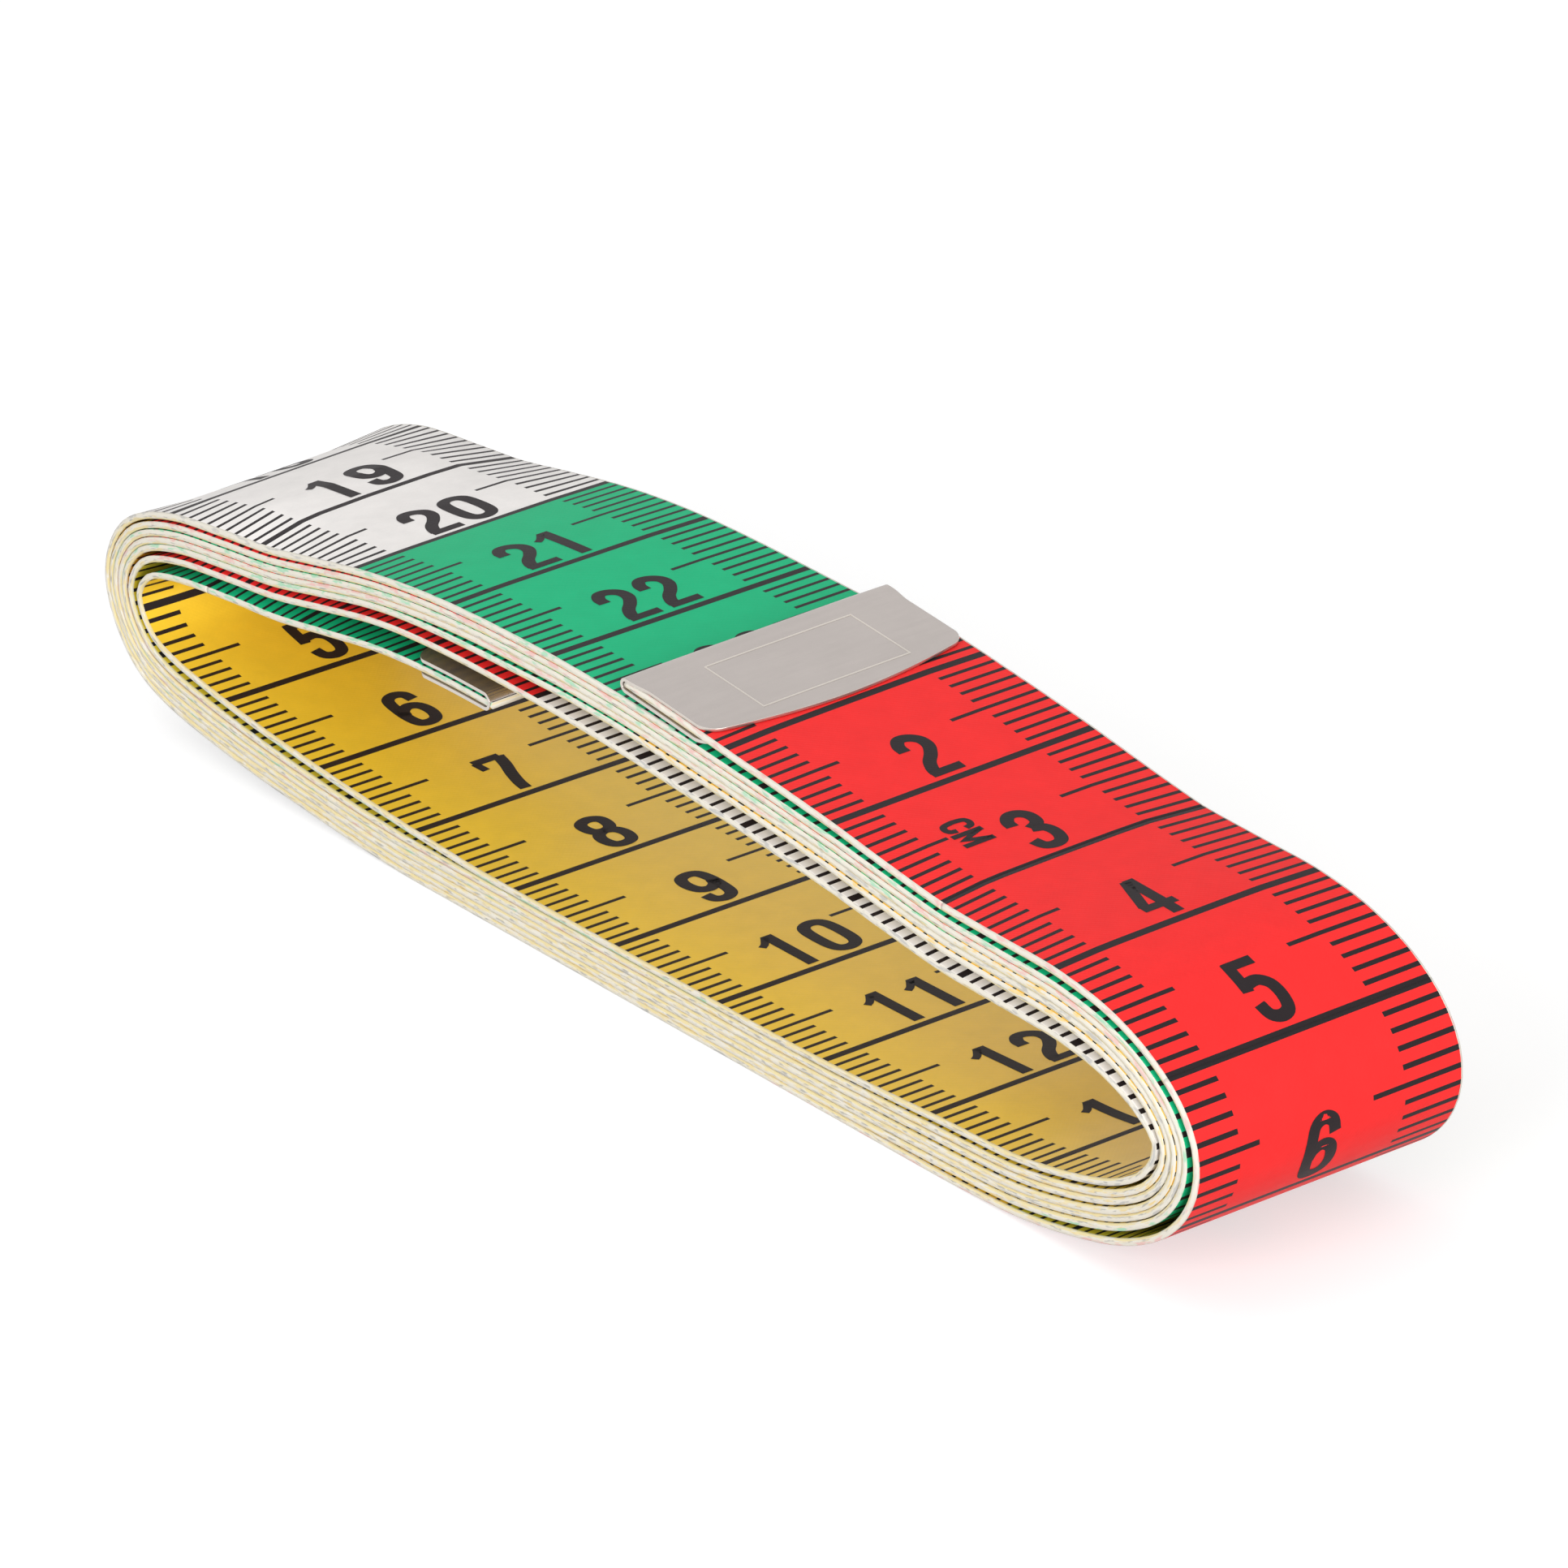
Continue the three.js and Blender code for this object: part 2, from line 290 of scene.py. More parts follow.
def coatedCloth(name, rgb, threads=1.0, roughness=cloth["roughness"], gloss=0.1):
    m, t, shader = startMaterial(name)
    uv = node(t, "ShaderNodeUVMap", -1400)
    uv.uv_map = "tapePlace"
    grow = node(t, "ShaderNodeVectorMath", -1200)
    grow.operation = "MULTIPLY"
    grow.inputs[1].default_value = (mapUnit, mapUnit, 1)
    t.links.new(uv.outputs[0], grow.inputs[0])
    parts = node(t, "ShaderNodeSeparateXYZ", -1000)
    t.links.new(grow.outputs[0], parts.inputs[0])
    turnOver = 2 * math.pi / cloth["threadPitch"]
    warp = mathNode(t, "SINE", mathNode(t, "MULTIPLY", parts.outputs[0], turnOver))
    weft = mathNode(t, "SINE", mathNode(t, "MULTIPLY", parts.outputs[1], turnOver))
    weave = mathNode(t, "MULTIPLY", warp, weft)
    noise = node(t, "ShaderNodeTexNoise", -900, -300, Scale=0.55, Detail=4.0, Roughness=0.6)
    t.links.new(grow.outputs[0], noise.inputs["Vector"])
    fine = node(t, "ShaderNodeTexNoise", -900, -600, Scale=5.5, Detail=3.0, Roughness=0.7)
    t.links.new(grow.outputs[0], fine.inputs["Vector"])
    base = linear(rgb)
    coarse = mathNode(t, "MULTIPLY", mathNode(t, "SUBTRACT", noise.outputs[0], 0.5), cloth["coarseShare"])
    grain = mathNode(t, "MULTIPLY", mathNode(t, "SUBTRACT", fine.outputs[0], 0.5), cloth["fineShare"])
    factor = mathNode(t, "ADD", mathNode(t, "ADD", coarse, grain), 0.5, clamp=True)
    dark, pale = shaded(base, 1 - cloth["mottle"]), shaded(base, 1 + cloth["mottle"] * cloth["paleShare"])
    colour = mixColours(t, factor, dark, pale)
    t.links.new(colour, shader.inputs["Base Color"])
    height = mathNode(t, "ADD", mathNode(t, "MULTIPLY", weave, 0.5 * threads), fine.outputs[0])
    addBump(t, shader, height, cloth["threadDepth"], cloth["reliefDepth"])
    rough = mathNode(t, "MULTIPLY", fine.outputs[0], cloth["roughSpread"])
    rough = mathNode(t, "ADD", rough, roughness - cloth["roughSpread"] / 2)
    t.links.new(rough, shader.inputs["Roughness"])
    shader.inputs["Specular IOR Level"].default_value = gloss
    return m


# the cut edge's threads are noise above a threshold, moved on by the offset for each colour
edgeLook = dict(
    threshold=0.52, offset=(31, 17, 5), bumpStrength=0.35, reliefDepth=0.00004, roughness=0.62, gloss=0.2)


def cutEdge(name, main, dashes):
    m, t, shader = startMaterial(name)
    uv = node(t, "ShaderNodeUVMap", -1400)
    uv.uv_map = "tapePlace"
    colour = linear(main)
    for k, (dash, along, across, sharp) in enumerate(dashes):
        squeeze = node(t, "ShaderNodeVectorMath", -1200, -300 * k)
        squeeze.operation = "MULTIPLY_ADD"
        squeeze.inputs[1].default_value = (mapUnit * along, mapUnit * across, 1)
        squeeze.inputs[2].default_value = [step * k for step in edgeLook["offset"]]
        t.links.new(uv.outputs[0], squeeze.inputs[0])
        noise = node(t, "ShaderNodeTexNoise", -900, -300 * k, Scale=1.0, Detail=2.0, Roughness=0.5)
        t.links.new(squeeze.outputs[0], noise.inputs["Vector"])
        above = mathNode(t, "SUBTRACT", noise.outputs[0], edgeLook["threshold"])
        factor = mathNode(t, "MULTIPLY", above, sharp, clamp=True)
        colour = mixColours(t, factor, colour, linear(dash))
    t.links.new(colour, shader.inputs["Base Color"])
    addBump(t, shader, noise.outputs[0], edgeLook["bumpStrength"], edgeLook["reliefDepth"])
    shader.inputs["Roughness"].default_value = edgeLook["roughness"]
    shader.inputs["Specular IOR Level"].default_value = edgeLook["gloss"]
    return m


# the grain runs across the ribbon
metalLook = dict(
    grain=(2200, 160, 2200), blotScale=320.0, spread=0.12, roughSpread=0.16, reliefDepth=0.00005)


def satinMetal(name, rgb, roughness, metallic, grainDepth):
    m, t, shader = startMaterial(name)
    place3d = node(t, "ShaderNodeTexCoord", -1400)
    stretch = node(t, "ShaderNodeVectorMath", -1200)
    stretch.operation = "MULTIPLY"
    stretch.inputs[1].default_value = metalLook["grain"]
    t.links.new(place3d.outputs["Object"], stretch.inputs[0])
    grain = node(t, "ShaderNodeTexNoise", -1000, 0, Scale=1.0, Detail=4.0, Roughness=0.65)
    t.links.new(stretch.outputs[0], grain.inputs["Vector"])
    blot = node(
        t, "ShaderNodeTexNoise", -1000, -300, Scale=metalLook["blotScale"], Detail=3.0, Roughness=0.6)
    t.links.new(place3d.outputs["Object"], blot.inputs["Vector"])
    base = linear(rgb)
    halves = [mathNode(t, "MULTIPLY", n.outputs[0], 0.5) for n in (grain, blot)]
    dark, pale = shaded(base, 1 - metalLook["spread"]), shaded(base, 1 + metalLook["spread"])
    colour = mixColours(t, mathNode(t, "ADD", *halves), dark, pale)
    t.links.new(colour, shader.inputs["Base Color"])
    shader.inputs["Metallic"].default_value = metallic
    rough = mathNode(t, "MULTIPLY", grain.outputs[0], metalLook["roughSpread"])
    rough = mathNode(t, "ADD", rough, roughness)
    t.links.new(rough, shader.inputs["Roughness"])
    addBump(t, shader, grain.outputs[0], grainDepth, metalLook["reliefDepth"])
    return m


frontColours = ["red", "white", "green", "amber"]        # ten centimetres of each, over and over
clothMaterials = {k: coatedCloth("cloth" + k.capitalize(), colours[k]) for k in frontColours}
clothMaterials["yellow"] = coatedCloth("clothYellow", colours["yellow"], roughness=0.36, gloss=0.45)
# each dash colour with its frequency along and across the ribbon and its sharpness
edgeDashes = ((colours["edgeGrey"], 1.1, 5, 9), (colours["edgeCream"], 0.8, 5, 7))
edgeMaterial = cutEdge("cutEdge", colours["edge"], edgeDashes)
edgeBackMaterial = cutEdge("cutEdgeBack", colours["edgeYellow"], ((colours["edge"], 0.9, 3, 8),))
tints = dict(red="pinkTint", white="whiteTint", green="greenTint", amber="amberTint")
tintMaterials = {
    k + "Side": cutEdge("cutEdge" + k.capitalize(), colours["edge"], ((colours[tints[k]], 0.9, 4, 9),))
    for k in frontColours}
inkMaterial = coatedCloth("blackInk", colours["ink"], threads=0.6, roughness=0.5, gloss=0.12)
metalMaterial = satinMetal("satinNickel", colours["metal"], 0.16, 0.85, 0.1)
# the rim metal is lighter than the nickel: a painted highlight
paintedHighlightRimMaterial = satinMetal("paintedHighlightRim", colours["rim"], 0.24, 0.9, 0.02)
print("materials made")


def addPiece(name, mesh):
    piece = bpy.data.objects.new(name, mesh)
    bpy.context.scene.collection.objects.link(piece)
    return piece


# the printed scale: the marks' widths along the ribbon, and how far the millimetre and the
# half-centimetre ticks reach in from the near and the far edge
scaleMarks = dict(
    tick=0.31, centimetre=0.56, middle=-1.5, backLayer=0.075,
    frontNear=(2.95, 4.3), frontFar=(4.1, 6.35), backNear=(2.45, 4.4), backFar=(4.65, 6.8))


def sectionRing():
    half, thick, c = ribbon["width"] / 2, ribbon["thick"] / 2, ribbon["corner"]
    rim = c + ribbon["bareRim"]
    m = scaleMarks
    front = [-half + c, -half + rim, -half + m["frontNear"][0], -half + m["frontNear"][1], m["middle"],
             half - m["frontFar"][1], half - m["frontFar"][0], half - rim, half - c]
    back = [half - c, half - rim, half - m["backFar"][0], half - m["backFar"][1], m["middle"],
            -half + m["backNear"][1], -half + m["backNear"][0], -half + rim, -half + c]
    layer = -thick + c + m["backLayer"]
    swell = ribbon["edgeSwell"]
    side = [(half, thick - c), (half + swell, ribbon["swellAt"]), (half + swell / 2, layer),
            (half, -thick + c)]
    points = [(y, thick) for y in front] + side
    points += [(y, -thick) for y in back] + [(-y, n) for y, n in reversed(side)]
    rows = ["Tick", "Half", "Middle", "Middle", "Half", "Tick"]
    down = ["rimTick", "edgeFront", "edgeFront", "edge", "edgeBack", "edgeBack", "edgeBack"]
    kinds = ["front" + k for k in rows] + down + ["back" + k for k in rows] + down[::-1]
    return np.array(points), kinds[-1:] + kinds[:-1]


ribbonMaterials = dict(
    clothMaterials, edge=edgeMaterial, edgeBack=edgeBackMaterial, ink=inkMaterial, **tintMaterials)
slots = frontColours + ["yellow", "edge", "ink", "edgeBack"] + [k + "Side" for k in frontColours]
slotOf = {name: i for i, name in enumerate(slots)}
slack = 0.02                                            # mm between a stretch's end and its next mark


def markHalf(k):
    return (scaleMarks["centimetre"] if k % 10 == 0 else scaleMarks["tick"]) / 2


def makeRibbon(name, start, end):
    ring, kinds = sectionRing()
    count = len(ring)
    stations = [start]
    for k in range(0, ribbon["length"] + 1):
        for s in (k - markHalf(k), k + markHalf(k)):
            if start + slack < s < end - slack:
                stations.append(s)
    stations = np.array(stations + [end])
    y, n = ring[:, 0], ring[:, 1]
    waves = ribbon["frayWaves"]
    fray = ribbon["fray"] * sum(np.sin(stations * rate + phase) for rate, phase in waves) / len(waves)
    edges = np.where(np.abs(y) > ribbon["width"] / 2 + 0.001, np.sign(y), 0)      # the swollen points alone
    across = y[None, :] + edges[None, :] * fray[:, None]
    vertices = place(stations[:, None], across, n[None, :]).reshape(-1, 3)
    faces, marks, uvs = [], [], []
    for i in range(len(stations) - 1):
        a, b = stations[i], stations[i + 1]
        centre = (a + b) / 2
        nearest = round(centre)
        half = markHalf(nearest)
        onMark = abs(centre - nearest) < half and b - a < 2 * half + slack / 2
        kind = "cm" if nearest % 10 == 0 else ("half" if nearest % 5 == 0 else "mm")
        colour = int(centre // 100) % 4
        for j in range(count):
            k = (j + 1) % count
            faces.append((i * count + j, (i + 1) * count + j, (i + 1) * count + k, i * count + k))
            side = kinds[j]
            if side == "rimTick" and centre < ribbon["bareUntil"]:
                side = "edgeFront"
            inked = onMark and side.endswith(("Tick", "Half", "Middle")) and (
                kind == "cm" or side.endswith("Tick") or (kind == "half" and side.endswith("Half")))
            if inked:
                slot = "ink"
            elif side == "edgeFront":
                slot = frontColours[colour] + "Side"
            elif side.startswith("edge"):
                slot = side
            else:
                slot = frontColours[colour] if side.startswith(("front", "rim")) else "yellow"
            marks.append(slotOf[slot])
            p, q = (n[j], n[k]) if abs(n[j] - n[k]) > abs(y[j] - y[k]) else (y[j], y[k])
            uvs += [(a, p), (b, p), (b, q), (a, q)]
    last = (len(stations) - 1) * count
    faces.append(tuple(range(count)))
    faces.append(tuple(last + j for j in reversed(range(count))))
    marks += [slotOf["edge"]] * 2
    uvs += [(start, n[j]) for j in range(count)] + [(end, n[j]) for j in reversed(range(count))]
    mesh = bpy.data.meshes.new(name)
    mesh.from_pydata(vertices.tolist(), [], faces)
    layer = mesh.uv_layers.new(name="tapePlace")
    layer.data.foreach_set("uv", (np.array(uvs) / mapUnit).ravel())
    mesh.polygons.foreach_set("material_index", marks)
    for slot in slots:
        mesh.materials.append(ribbonMaterials[slot])
    mesh.shade_smooth()
    mesh.update()
    return addPiece(name, mesh)


# the ribbon's stretches, from where to where along it
stretches = dict(tip=(ribbon["begin"], 30), root=(30, 50), winding=(50, 1470), inner=(1470, 1500))
tapeOuterTip = makeRibbon("tapeOuterTip", *stretches["tip"])
tapeOuterRoot = makeRibbon("tapeOuterRoot", *stretches["root"])
tapeWinding = makeRibbon("tapeWinding", *stretches["winding"])
tapeInnerEnd = makeRibbon("tapeInnerEnd", *stretches["inner"])
tapes = (tapeOuterTip, tapeOuterRoot, tapeWinding, tapeInnerEnd)
print("ribbon made,", sum(len(o.data.polygons) for o in tapes), "faces")

# the printed numbers
figures = dict(
    high=4.75, wide=2.45, step=2.9, stroke=0.8, baseline=0.6, centre=-0.5, above=0.012,
    spacing=0.3, smoothSteps=5, mitreLimit=0.5)
# each figure's strokes: smooth or not, the share of the full stroke, and the middle line in shares
figureShares = {
    "0": [(True, 1, [(0.5, 1), (0.14, 0.93), (0, 0.72), (0, 0.28), (0.14, 0.07), (0.5, 0), (0.86, 0.07),
                     (1, 0.28), (1, 0.72), (0.86, 0.93), (0.5, 1)])],
    "1": [(False, 0.98, [(0.5, -0.1), (0.5, 1.09)]),
          (True, 0.62, [(-0.16, 0.79), (0.05, 0.85), (0.24, 0.95), (0.4, 1.05)])],
    "2": [(True, 1, [(0, 0.68), (0.03, 0.85), (0.26, 0.99), (0.62, 0.98), (0.93, 0.85), (0.95, 0.65),
                     (0.68, 0.45), (0.34, 0.29), (0.14, 0.12), (0.08, -0.02)]),
          (False, 0.86, [(-0.13, -0.01), (1.2, -0.01)])],
    "3": [(True, 1, [(0, 0.72), (0.05, 0.87), (0.3, 0.99), (0.66, 0.98), (0.92, 0.85), (0.88, 0.64),
                     (0.45, 0.54)]),
          (True, 1, [(0.45, 0.54), (0.88, 0.46), (1, 0.26), (0.85, 0.06), (0.5, 0), (0.14, 0.06),
                     (0, 0.25)])],
    "4": [(False, 0.95, [(0.74, -0.1), (0.74, 1.07)]), (False, 0.85, [(0.6, 1.03), (-0.04, 0.26)]),
          (False, 0.85, [(-0.2, 0.22), (1.2, 0.22)])],
    "5": [(False, 0.85, [(1.05, 1.01), (-0.13, 1.01)]), (False, 0.92, [(0.05, 1.08), (-0.02, 0.5)]),
          (True, 1, [(-0.05, 0.6), (0.3, 0.645), (0.62, 0.64), (0.92, 0.52), (1, 0.3), (0.88, 0.07),
                     (0.5, 0), (0.13, 0.07), (0, 0.27)])],
    "6": [(True, 1, [(0.97, 0.74), (0.87, 0.93), (0.5, 1), (0.12, 0.9), (0, 0.6), (0, 0.28), (0.14, 0.06),
                     (0.5, 0), (0.87, 0.07), (1, 0.28), (0.87, 0.51), (0.5, 0.59), (0.14, 0.5),
                     (0.02, 0.36)])],
    "7": [(False, 0.85, [(-0.2, 1.01), (0.98, 1.01)]), (False, 0.7, [(-0.12, 1.0), (-0.06, 0.72)]),
          (True, 1, [(0.94, 1.02), (0.78, 0.72), (0.54, 0.42), (0.36, 0.12), (0.3, -0.1)])],
    "8": [(True, 1, [(0.5, 1), (0.12, 0.93), (0.04, 0.77), (0.16, 0.6), (0.5, 0.54), (0.84, 0.6),
                     (0.96, 0.77), (0.88, 0.93), (0.5, 1)]),
          (True, 1, [(0.5, 0.54), (0.13, 0.46), (0, 0.27), (0.13, 0.06), (0.5, 0), (0.87, 0.06),
                     (1, 0.27), (0.87, 0.46), (0.5, 0.54)])],
    "9": [(True, 1, [(0.03, 0.26), (0.13, 0.07), (0.5, 0), (0.88, 0.1), (1, 0.4), (1, 0.72), (0.86, 0.94),
                     (0.5, 1), (0.13, 0.93), (0, 0.72), (0.13, 0.49), (0.5, 0.41), (0.86, 0.5),
                     (0.98, 0.64)])],
    "C": [(True, 1, [(1, 0.68), (0.88, 0.92), (0.5, 1), (0.12, 0.9), (0, 0.6), (0, 0.4), (0.12, 0.1),
                     (0.5, 0), (0.88, 0.08), (1, 0.32)])],
    "M": [(False, 1, [(-0.15, -0.12), (-0.15, 1.12)]),
          (False, 0.8, [(-0.12, 1.05), (0.5, 0.12), (1.12, 1.05)]),
          (False, 1, [(1.15, 1.12), (1.15, -0.12)])]}
# the unit mark reads along the ribbon, beside the numbers
unitMark = dict(text="CM", line=25.0, high=2.1, wide=1.3, step=1.5, stroke=0.42, centre=-4.83)
# the centimetres that have a number: the others lie inside the winding
numbered = dict(front=(range(2, 46), range(128, 150)), back=(range(1, 46), range(104, 150)))


def strokePoints(smooth, shares, v):
    points = v["stroke"] / 2 + np.array(shares, float) * (v["wide"] - v["stroke"], v["high"] - v["stroke"])
    if smooth:
        closed = np.allclose(points[0], points[-1])
        ghost = points[-2] if closed else 2 * points[0] - points[1]
        tail = points[1] if closed else 2 * points[-1] - points[-2]
        row = np.vstack([ghost, points, tail])
        dense = []
        for i in range(1, len(row) - 2):
            for t in np.linspace(0, 1, figures["smoothSteps"] + 1)[:-1]:
                dense.append(cubic(row[i - 1], row[i], row[i + 1], row[i + 2], t))
        points = np.array(dense + [points[-1]])
    out = [points[0]]
    for a, b in zip(points[:-1], points[1:]):
        count = max(1, math.ceil(np.hypot(*(b - a)) / figures["spacing"]))
        out += [a + (b - a) * k / count for k in range(1, count + 1)]
    return np.array(out)


def strokeStrip(points, width, closed):
    d = np.diff(points, axis=0)
    d /= np.hypot(d[:, 0], d[:, 1])[:, None]
    before = np.vstack([d[-1:] if closed else d[:1], d])
    after = np.vstack([d, d[:1] if closed else d[-1:]])
    both = before + after
    both /= np.hypot(both[:, 0], both[:, 1])[:, None]
    cosHalf = np.maximum((both * after).sum(axis=1), figures["mitreLimit"])
    side = np.stack([-both[:, 1], both[:, 0]], axis=1) * (width / 2 / cosHalf)[:, None]
    return points + side, points - side


def figureStrips(text, v):
    strips = []
    total = v["step"] * (len(text) - 1) + v["wide"]
    for k, letter in enumerate(text):
        for smooth, weight, shares in figureShares[letter]:
            points = strokePoints(smooth, shares, v)
            points[:, 0] += k * v["step"] - total / 2
            closed = bool(np.allclose(shares[0], shares[-1]))
            strips.append(strokeStrip(points, v["stroke"] * weight, closed))
    return strips


def makeNumbers(name, start, end):
    vertices, faces = [], []
    texts = [(side, str(k), 10.0 * k - figures["baseline"], figures)
             for side, spans in numbered.items() for span in spans for k in span]
    texts.append(("front", unitMark["text"], unitMark["line"], unitMark))
    for side, text, base, v in texts:
        low = base - v["high"] if side == "front" else ribbon["length"] - base
        if low < start or low + v["high"] > end:
            continue
        out = 1 if side == "front" else -1
        for left, right in figureStrips(text, v):
            first = len(vertices)
            for p, q in zip(left, right):
                for gx, gy in (p, q):
                    s = base + gx if v is unitMark else base - gy
                    y = v["centre"] + (gy if v is unitMark else gx)
                    vertices.append((s if side == "front" else ribbon["length"] - s, y, out))
            faces += [(a, a + 1, a + 3, a + 2) for a in range(first, len(vertices) - 2, 2)]
    s, y, out = np.array(vertices).T
    mesh = bpy.data.meshes.new(name)
    mesh.from_pydata(place(s, y, out * (ribbon["thick"] / 2 + figures["above"])).tolist(), [], faces)
    layer = mesh.uv_layers.new(name="tapePlace")
    flat = np.stack([s, y], axis=1) / mapUnit
    loops = np.array([i for f in faces for i in f])
    layer.data.foreach_set("uv", flat[loops].ravel())
    mesh.materials.append(inkMaterial)
    mesh.shade_smooth()
    mesh.update()
    return addPiece(name, mesh)


numbersWinding = makeNumbers("numbersWinding", *stretches["winding"])
numbersOuterRoot = makeNumbers("numbersOuterRoot", *stretches["root"])
numbersOuterTip = makeNumbers("numbersOuterTip", *stretches["tip"])
numbersInnerEnd = makeNumbers("numbersInnerEnd", *stretches["inner"])
numberPieces = (numbersWinding, numbersOuterRoot, numbersOuterTip, numbersInnerEnd)
print("numbers made,", sum(len(o.data.polygons) for o in numberPieces), "faces")

# the folded end caps: way is 1 where the cap reaches along the ribbon and -1 where it reaches back
caps = dict(
    sheet=0.22, overhang=0.12, setBackFrom=0.3, setBackTo=2.2, cornerRound=1.0,
    foldSteps=12, across=36, along=26, rim=0.07, rimSteps=2, rimAngle=50)
outerCapValues = dict(
    end=0.75, way=1, setBack=0.22, roomFront=0.04, roomBack=0.04, sideLength=7.5, middleLength=8.85)
innerCapValues = dict(
    end=1499.35, way=-1, setBack=0, roomFront=0.28, roomBack=0.03, sideLength=7.0, middleLength=8.4)


def capLength(v, share):
    return v["sideLength"] + (v["middleLength"] - v["sideLength"]) * (1 - share ** 2)


def makeCap(name, v):
    half = ribbon["width"] / 2 + caps["overhang"]
    end, way = v["end"], v["way"]
    foldSteps, along = caps["foldSteps"], caps["along"]
    front = ribbon["thick"] / 2 + v["roomFront"] + caps["sheet"] / 2
    back = ribbon["thick"] / 2 + v["roomBack"] + caps["sheet"] / 2
    radius, centre = (front + back) / 2, (front - back) / 2
    rows, vertices = caps["across"] + 1, []
    shares = np.sin(np.linspace(-1, 1, rows) * math.pi / 2)
    for share in shares:
        reach = capLength(v, share)
        if abs(share) * half > half - caps["cornerRound"]:
            into = (abs(share) * half - half + caps["cornerRound"]) / caps["cornerRound"]
            reach -= caps["cornerRound"] * (1 - math.sqrt(max(0, 1 - into * into)))
        line = [(reach * (1 - k / along), front) for k in range(along)]
        turned = [math.pi * k / foldSteps for k in range(foldSteps + 1)]
        line += [(-radius * math.sin(angle), centre + radius * math.cos(angle)) for angle in turned]
        line += [(reach * k / along, -back) for k in range(1, along + 1)]
        for a, n in line:
            # the front leaf stands back from the ribbon's edge, so its colour shows as a line
            grown = ease((a - caps["setBackFrom"]) / (caps["setBackTo"] - caps["setBackFrom"]))
            slim = v["setBack"] * grown * (n > centre)
            vertices.append((end + way * a, share * (half - float(slim)), n))
    count = 2 * along + foldSteps + 1
    table = np.array(vertices)
    mesh = bpy.data.meshes.new(name)
    faces = []
    for i in range(rows - 1):
        for j in range(count - 1):
            a = i * count + j
            face = (a, a + 1, a + count + 1, a + count)
            faces.append(face if way > 0 else face[::-1])
    mesh.from_pydata(place(table[:, 0], table[:, 1], table[:, 2]).tolist(), [], faces)
    mesh.materials.append(metalMaterial)
    mesh.materials.append(paintedHighlightRimMaterial)
    mesh.shade_smooth()
    piece = addPiece(name, mesh)
    # the sheet's rim faces take the lighter rim metal, a painted highlight along the cap's edges
    solid = piece.modifiers.new("sheet", "SOLIDIFY")
    solid.thickness, solid.offset, solid.material_offset_rim = caps["sheet"] * mm, 0, 1
    bevel = piece.modifiers.new("rim", "BEVEL")
    bevel.width, bevel.segments = caps["rim"] * mm, caps["rimSteps"]
    bevel.limit_method, bevel.angle_limit = "ANGLE", math.radians(caps["rimAngle"])
    return piece


outerCap = makeCap("outerCap", outerCapValues)
innerCap = makeCap("innerCap", innerCapValues)

# a plain raised frame on the outer cap, in the lighter rim metal as a painted highlight on its lines: where
# its sides lie along and across the ribbon
frameLine = dict(fold=2.4, free=8.0, near=-5.0, far=5.4, width=0.13, high=0.06, sink=0.03, spacing=0.5)


def pushed(c, low, high, grow):
    # a coordinate on a side of the frame moves outward by grow, and one between them stays
    centre, half = (low + high) / 2, (high - low) / 2
    onSide = abs(c - centre) > 0.999 * half
    return c + grow * math.copysign(1, c - centre) if onSide else c


def makeFrameLine(name):
    v = frameLine
    base = ribbon["thick"] / 2 + outerCapValues["roomFront"] + caps["sheet"]
    corners = [(v["fold"], v["near"]), (v["free"], v["near"]), (v["free"], v["far"]), (v["fold"], v["far"])]
    rings = [[], [], []]
    for a, b in zip(corners, corners[1:] + corners[:1]):
        count = math.ceil(math.dist(a, b) / v["spacing"])
        for i in range(count):
            s, y = (a[j] + (b[j] - a[j]) * i / count for j in (0, 1))
            for ring, out in zip(rings, (-0.5, 0, 0.5)):
                grow = out * v["width"]
                ring.append((pushed(s, v["fold"], v["free"], grow), pushed(y, v["near"], v["far"], grow),
                             base + (v["high"] if out == 0 else -v["sink"])))
    count = len(rings[0])
    table = np.array(rings[0] + rings[1] + rings[2])
    faces = []
    for i in range(count):
        j = (i + 1) % count
        for a, b in ((0, 1), (1, 2), (2, 0)):
            faces.append((a * count + i, b * count + i, b * count + j, a * count + j))
    mesh = bpy.data.meshes.new(name)
    mesh.from_pydata(place(table[:, 0], table[:, 1], table[:, 2]).tolist(), [], faces)
    # the frame's lines are lighter than the cap: a painted highlight
    mesh.materials.append(paintedHighlightRimMaterial)
    mesh.update()
    return addPiece(name, mesh)


outerCapFrame = makeFrameLine("outerCapFrame")
print("end caps made")

# bodies: spots along the ribbon where each blend would start and end, which nothing below uses
blendSpots = dict(root=(47, 37), tip=(26, 16), inner=(1470.5, 1478))


def spot(s):
    return tuple(float(c) for c in place(s, 0, 0))


rootStart, rootEnd = (spot(s) for s in blendSpots["root"])
tipStart, tipEnd = (spot(s) for s in blendSpots["tip"])
innerStart, innerEnd = (spot(s) for s in blendSpots["inner"])

for o in (tapeWinding, numbersWinding):
    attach(o, "winding")
for o in (tapeOuterRoot, numbersOuterRoot):
    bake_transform(o)
for o in (tapeOuterTip, numbersOuterTip):
    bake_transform(o)
for o in (tapeInnerEnd, numbersInnerEnd):
    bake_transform(o)
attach(outerCap, "outer_tip")
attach(outerCapFrame, "outer_tip")
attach(innerCap, "inner_end")
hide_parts("tape_winding")
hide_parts("tape_outer_root")
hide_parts("tape_outer_tip")
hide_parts("tape_inner_end")
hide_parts("outer_end_cap")
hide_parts("inner_end_cap")

# floor, backdrop and light: metres and watts
studio = dict(
    worldStrength=0.585, floorHalf=4.0, floorDrop=0.00002, floorGlow=0.55, lampsAimAt=(0, 0, 0.01),
    keyAt=(-0.3, -0.3, 0.9), keyPower=1.1, keySize=0.9,
    fillAt=(0.95, -0.35, 0.24), fillPower=6.5, fillSize=0.46,
    lowAt=(0.3, -0.85, 0.4), lowPower=5.3, lowSize=0.6)


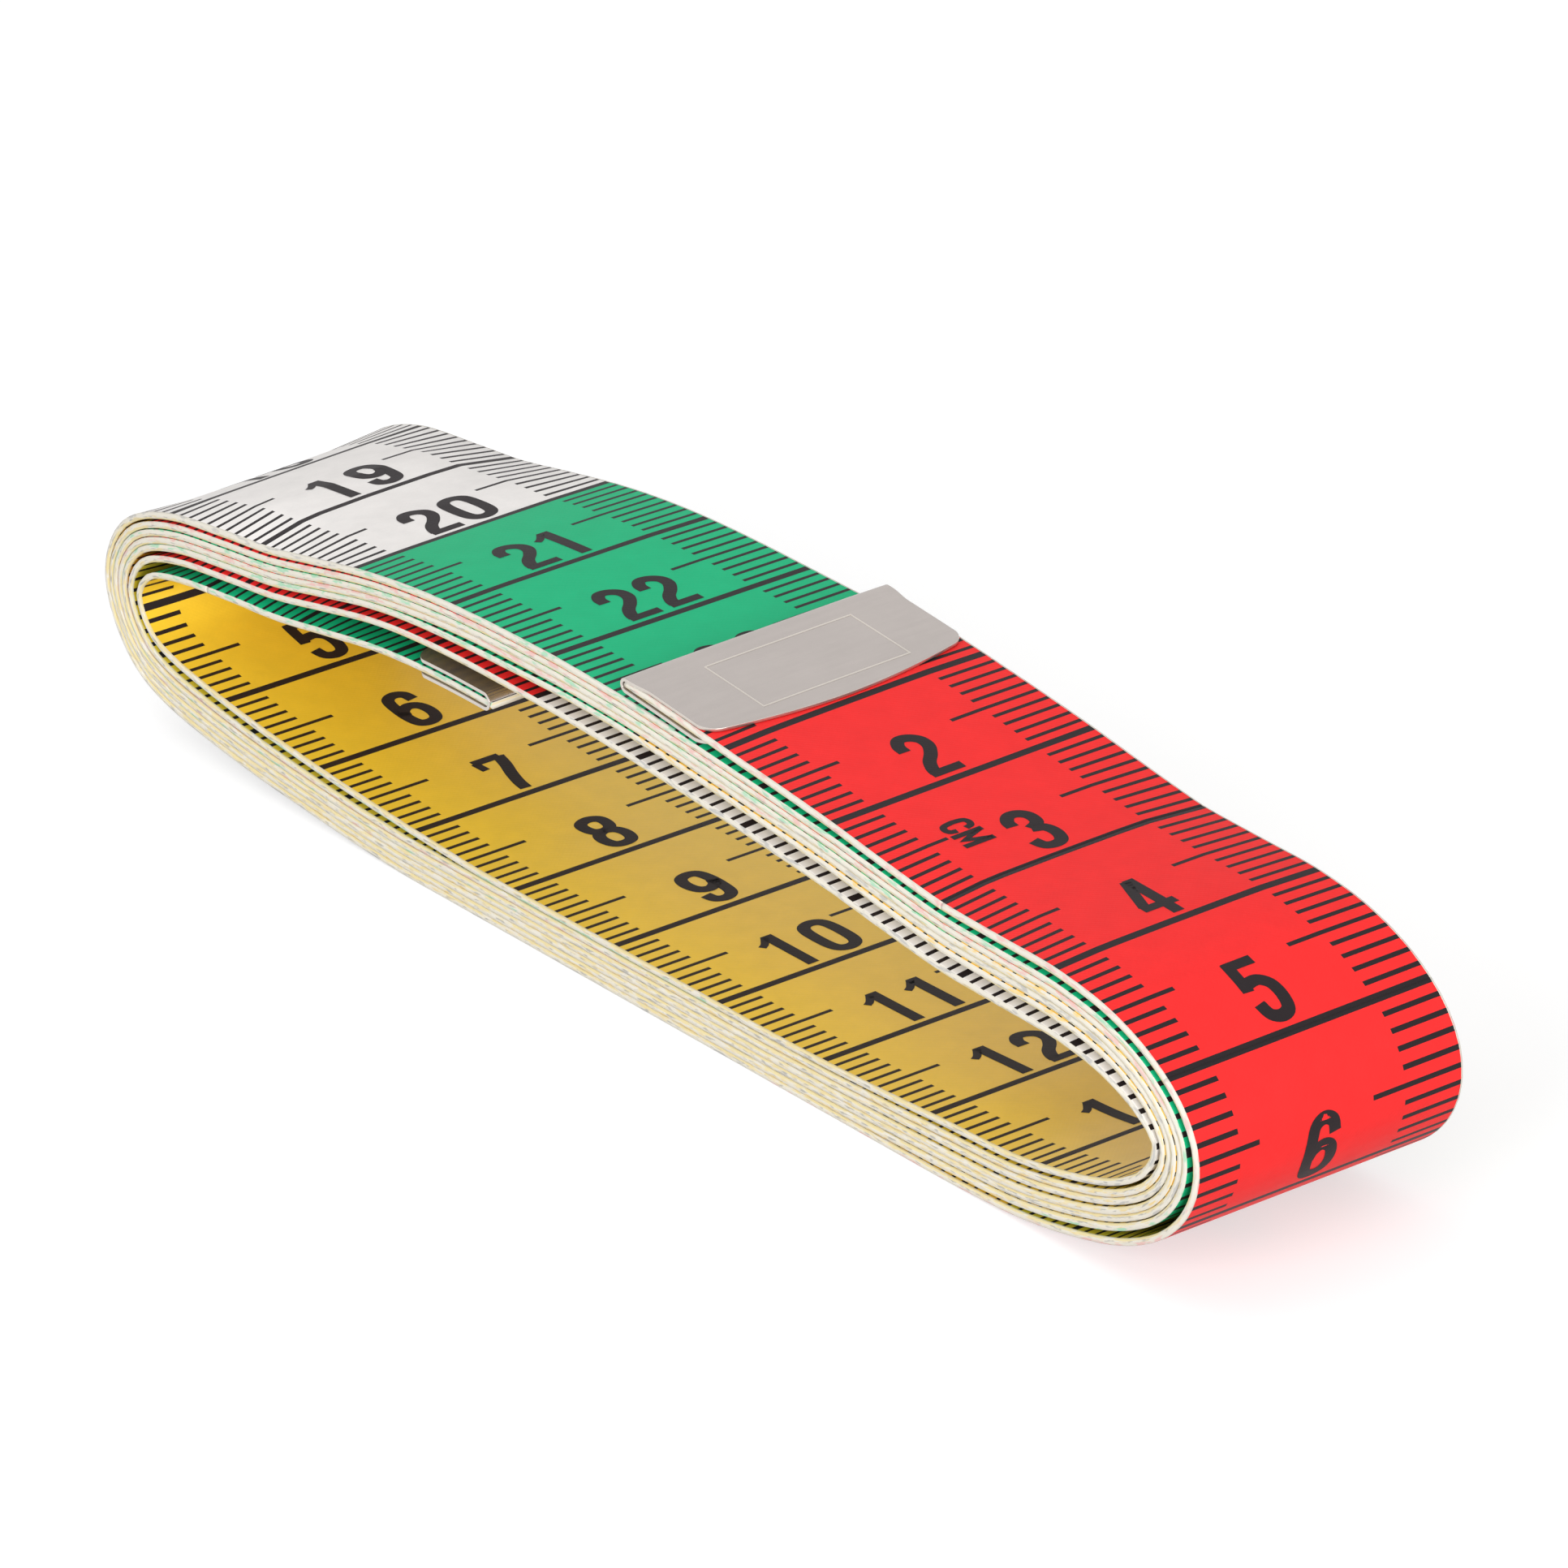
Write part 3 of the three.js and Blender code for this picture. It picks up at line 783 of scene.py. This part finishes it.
def seenDirectly(tree):
    # 1 where the camera, a mirror or a clear piece looks, and 0 for light on other things
    rays = node(tree, "ShaderNodeLightPath", -400)
    seen = mathNode(tree, "MAXIMUM", rays.outputs["Is Camera Ray"], rays.outputs["Is Glossy Ray"])
    return mathNode(tree, "MAXIMUM", seen, rays.outputs["Is Transmission Ray"])


def makeFloor():
    mesh = bpy.data.meshes.new("floor")
    r = studio["floorHalf"]
    mesh.from_pydata([(-r, -r, 0), (r, -r, 0), (r, r, 0), (-r, r, 0)], [], [(0, 1, 2, 3)])
    floor = addPiece("floor", mesh)
    floor.location.z = -studio["floorDrop"]
    m = bpy.data.materials.new("floorWhite")
    m.use_nodes = True
    t = m.node_tree
    t.nodes.clear()
    out = node(t, "ShaderNodeOutputMaterial", 600)
    diffuse = node(t, "ShaderNodeBsdfDiffuse", 0, 0, Color=linear(colours["floor"]))
    glow = node(t, "ShaderNodeEmission", 0, -200, Color=(1, 1, 1, 1))
    t.links.new(mathNode(t, "MULTIPLY", seenDirectly(t), studio["floorGlow"]), glow.inputs["Strength"])
    add = node(t, "ShaderNodeAddShader", 300)
    t.links.new(diffuse.outputs[0], add.inputs[0])
    t.links.new(glow.outputs[0], add.inputs[1])
    t.links.new(add.outputs[0], out.inputs[0])
    mesh.materials.append(m)


def makeWorld():
    world = bpy.data.worlds.new("softStudio")
    world.use_nodes = True
    t = world.node_tree
    t.nodes.clear()
    out = node(t, "ShaderNodeOutputWorld", 600)
    light = node(t, "ShaderNodeBackground", 0, 0, Color=(1, 1, 1, 1), Strength=studio["worldStrength"])
    white = node(t, "ShaderNodeBackground", 0, -200, Color=(1, 1, 1, 1), Strength=1.0)
    mix = node(t, "ShaderNodeMixShader", 300)
    t.links.new(seenDirectly(t), mix.inputs[0])
    t.links.new(light.outputs[0], mix.inputs[1])
    t.links.new(white.outputs[0], mix.inputs[2])
    t.links.new(mix.outputs[0], out.inputs[0])
    bpy.context.scene.world = world


def areaLight(name, at, power, size, inGloss):
    data = bpy.data.lights.new(name, "AREA")
    data.shape, data.size, data.energy = "DISK", size, power
    lamp = bpy.data.objects.new(name, data)
    lamp.location = at
    lamp.visible_glossy = inGloss                       # whether the metal mirrors the lamp
    away = Vector(studio["lampsAimAt"]) - Vector(at)
    lamp.rotation_euler = away.to_track_quat("-Z", "Y").to_euler()
    bpy.context.scene.collection.objects.link(lamp)


makeFloor()
makeWorld()
areaLight("keyLight", studio["keyAt"], studio["keyPower"], studio["keySize"], True)
areaLight("fillLight", studio["fillAt"], studio["fillPower"], studio["fillSize"], True)
areaLight("lowLight", studio["lowAt"], studio["lowPower"], studio["lowSize"], False)
bpy.context.scene.view_settings.view_transform = "Standard"
print("stage and light made")
